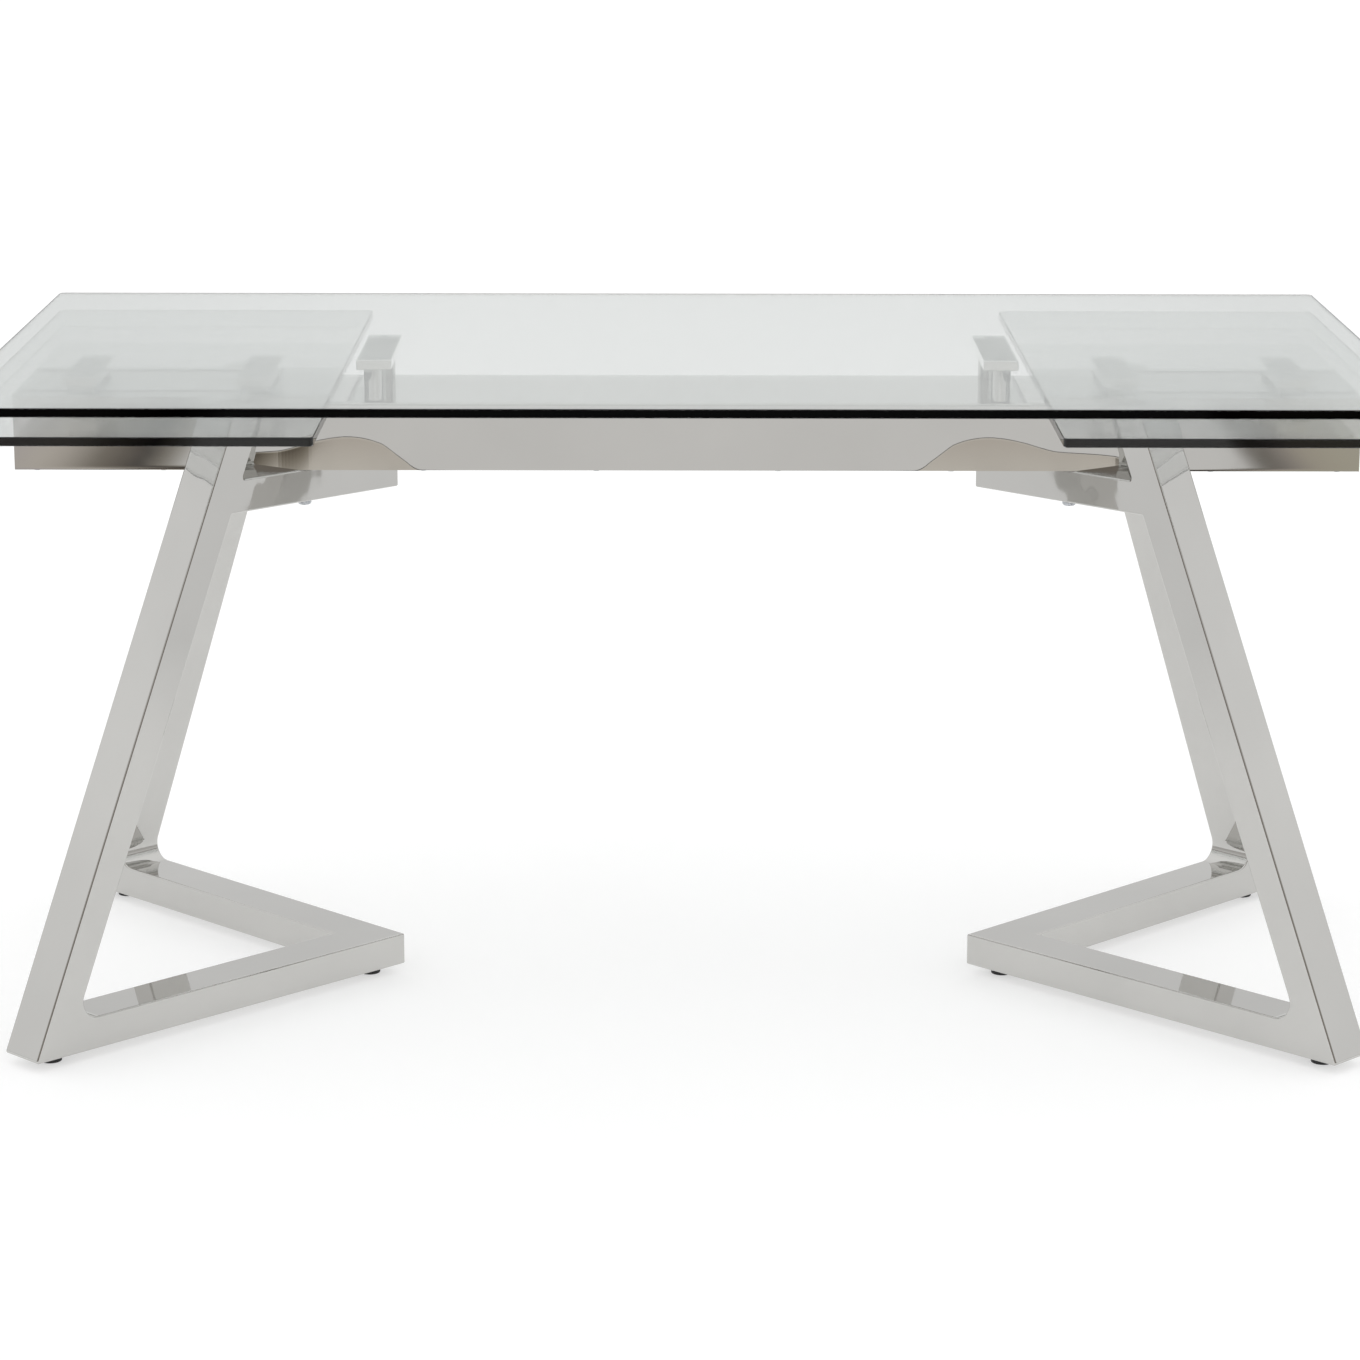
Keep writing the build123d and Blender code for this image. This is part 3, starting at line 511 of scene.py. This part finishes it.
class TABLE_OT_studio(bpy.types.Operator):
    """Makes the pale floor, the soft lights and the camera"""

    bl_idname = "table.studio"
    bl_label = "Studio"

    def execute(self, context):
        studio = context.scene.table_studio
        self.make_camera(context, studio)
        self.make_floor(context, studio)
        self.make_world(context, studio)
        context.scene.view_settings.view_transform = "Standard"
        return {"FINISHED"}

    def make_camera(self, context, studio):
        """The camera, from its place, pitch, yaw and roll."""
        data = bpy.data.cameras.new("studio_camera")
        data.sensor_width = SENSOR_MM
        data.lens = studio.lens
        camera = bpy.data.objects.new("studio_camera", data)
        context.scene.collection.objects.link(camera)
        pitch, yaw, roll = studio.camera_pitch, studio.camera_yaw, studio.camera_roll
        turn = Matrix.Rotation(-yaw, 4, "Z") @ Matrix.Rotation(math.pi / 2 - pitch, 4, "X")
        turn = turn @ Matrix.Rotation(-roll, 4, "Z")
        camera.matrix_world = Matrix.Translation(studio.camera_place) @ turn
        context.scene.camera = camera

    def make_floor(self, context, studio):
        """A large pale disc under the table."""
        mesh = bpy.data.meshes.new("studio_floor")
        disc = bmesh.new()
        bmesh.ops.create_circle(
            disc, cap_ends=True, segments=FLOOR_SEGMENTS, radius=studio.floor_radius)
        disc.to_mesh(mesh)
        disc.free()
        floor = bpy.data.objects.new("studio_floor", mesh)
        context.scene.collection.objects.link(floor)
        floor.location.z = -FLOOR_DROP
        mesh.materials.append(self.floor_paper(studio))

    def floor_paper(self, studio):
        """Pale paper, lit from below as well.

        Polished metal and glass see a room painted on it, with painted light falloff and a painted shadow: the
        paper dims towards the camera and to its sides, ends in a dark line that is a painted shadow of its
        edge, and has a warm floor past it and darker floor past its sides. The glow carries the same painted
        falloff.
        """
        material, tree, shader, _ = new_material("pale_matt_studio_paper")
        place = add(tree, "ShaderNodeTexCoord").outputs["Object"]
        axes = add(tree, "ShaderNodeSeparateXYZ", {"Vector": place})
        ahead = add(tree, "ShaderNodeMath", {0: axes.outputs["Y"], 1: -1 / ROOM_DEPTH}, operation="MULTIPLY")
        across = add(tree, "ShaderNodeMapRange", {
            "Value": axes.outputs["X"], "From Min": -ROOM_SIDE, "From Max": ROOM_SIDE}).outputs["Result"]
        # Painted light falloff towards the camera, and a painted shadow line where the paper ends
        depth = add(tree, "ShaderNodeValToRGB", {"Fac": ahead.outputs["Value"]}, [
            (at / ROOM_DEPTH, level) for at, level in FLOOR_DEPTH_TONES_WITH_PAINTED_SHADE])
        edge = add(tree, "ShaderNodeValToRGB", {"Fac": across}, self.across_room(FLOOR_SIDES))
        # Painted light falloff across the floor near the table
        painted_falloff = add(tree, "ShaderNodeValToRGB", {"Fac": across}, self.across_room(FLOOR_PAINTED_FALLOFF))
        start, full = FLOOR_SIDES_START
        forward = add(tree, "ShaderNodeMapRange", {
            "Value": axes.outputs["Y"], "From Min": start, "From Max": full}).outputs["Result"]
        sides = add(tree, "ShaderNodeMix", {
            MIX_FACTOR: forward, MIX_A: painted_falloff.outputs["Color"], MIX_B: edge.outputs["Color"]},
            data_type="RGBA").outputs[MIX_RESULT]
        room = add(tree, "ShaderNodeMix", {MIX_FACTOR: 1.0, MIX_A: depth.outputs["Color"], MIX_B: sides},
                   data_type="RGBA", blend_type="MULTIPLY").outputs[MIX_RESULT]
        clouds = add(tree, "ShaderNodeValToRGB", {"Fac": pattern(tree, size_mm=900, detail=2)}, [
            (0.3, 0.985), (0.7, 1.0)])
        # Reflections see the painted falloff and shadow; the camera sees the plain paper
        glossy = add(tree, "ShaderNodeLightPath").outputs["Is Glossy Ray"]
        seen = add(tree, "ShaderNodeMix", {
            MIX_FACTOR: glossy, MIX_A: clouds.outputs["Color"], MIX_B: room},
            data_type="RGBA").outputs[MIX_RESULT]
        tone = add(tree, "ShaderNodeMix", {
            MIX_FACTOR: 1.0, MIX_A: seen, MIX_B: (*studio.floor_colour, 1)},
            data_type="RGBA", blend_type="MULTIPLY").outputs[MIX_RESULT]
        wire(shader, {
            "Base Color": tone, "Emission Color": seen, "Emission Strength": studio.floor_glow,
            "Roughness": 0.9, "Specular IOR Level": 0.0})
        return material

    def across_room(self, stops):
        """Ramp stops for places across the room, given in metres from its middle."""
        return [(0.5 + at / (2 * ROOM_SIDE), level) for at, level in stops]

    def make_world(self, context, studio):
        """Soft white light from all round.

        Polished metal and glass see it as a studio: dimmer near the horizon, and dark behind the
        camera up to the height of the lights.
        """
        world = bpy.data.worlds.new("studio_world")
        context.scene.world = world
        world.use_nodes = True
        tree = world.node_tree
        tree.nodes.clear()
        direction = add(tree, "ShaderNodeTexCoord").outputs["Generated"]
        axes = add(tree, "ShaderNodeSeparateXYZ", {"Vector": direction})
        behind, beside, in_front = (
            add(tree, "ShaderNodeValToRGB", {"Fac": axes.outputs["Z"]}, stops).outputs["Color"]
            for stops in (WALL_BEHIND, WALL_BESIDE, WALL_IN_FRONT))
        aside = add(tree, "ShaderNodeMath", {0: axes.outputs["X"]}, operation="ABSOLUTE").outputs["Value"]
        start, full = WALL_TURN_SIDEWAYS
        sideways = add(tree, "ShaderNodeMapRange", {
            "Value": aside, "From Min": start, "From Max": full}).outputs["Result"]
        start, full = WALL_TURN_FORWARD
        forward = add(tree, "ShaderNodeMapRange", {
            "Value": axes.outputs["Y"], "From Min": start, "From Max": full}).outputs["Result"]
        walls = add(tree, "ShaderNodeMix", {MIX_FACTOR: sideways, MIX_A: behind, MIX_B: beside},
                    data_type="RGBA").outputs[MIX_RESULT]
        room = add(tree, "ShaderNodeMix", {MIX_FACTOR: forward, MIX_A: walls, MIX_B: in_front},
                   data_type="RGBA").outputs[MIX_RESULT]
        glossy = add(tree, "ShaderNodeLightPath").outputs["Is Glossy Ray"]
        seen = add(tree, "ShaderNodeMix", {MIX_FACTOR: glossy, MIX_A: linear("#ffffff"), MIX_B: room},
                   data_type="RGBA").outputs[MIX_RESULT]
        light = add(tree, "ShaderNodeBackground", {"Color": seen, "Strength": studio.studio_light})
        add(tree, "ShaderNodeOutputWorld", {"Surface": light.outputs["Background"]})


class TABLE_PT_sidebar(bpy.types.Panel):
    """Lists the table's operators"""

    bl_idname = "TABLE_PT_sidebar"
    bl_label = "Extendable Dining Table"
    bl_space_type = "VIEW_3D"
    bl_region_type = "UI"
    bl_category = "Table"

    def draw(self, context):
        for operator in OPERATORS:
            self.layout.operator(operator.bl_idname)
        for group in (context.scene.table_finish, context.scene.table_studio):
            box = self.layout.box()
            for name in group.__annotations__:
                box.prop(group, name)


OPERATORS = (
    TABLE_OT_glass,
    TABLE_OT_polished_steel,
    TABLE_OT_bright_bars,
    TABLE_OT_slides,
    TABLE_OT_foot_pads,
    TABLE_OT_studio,
)
CLASSES = (TableFinish, TableStudio, *OPERATORS, TABLE_PT_sidebar)


def register():
    for cls in CLASSES:
        bpy.utils.register_class(cls)
    bpy.types.Scene.table_finish = bpy.props.PointerProperty(type=TableFinish)
    bpy.types.Scene.table_studio = bpy.props.PointerProperty(type=TableStudio)


def unregister():
    del bpy.types.Scene.table_studio
    del bpy.types.Scene.table_finish
    for cls in reversed(CLASSES):
        bpy.utils.unregister_class(cls)


def main():
    """Registers the add-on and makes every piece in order."""
    register()
    bpy.ops.table.glass()
    bpy.ops.table.polished_steel()
    bpy.ops.table.bright_bars()
    bpy.ops.table.slides()
    bpy.ops.table.foot_pads()
    bpy.ops.table.studio()


if __name__ == "__main__":
    main()
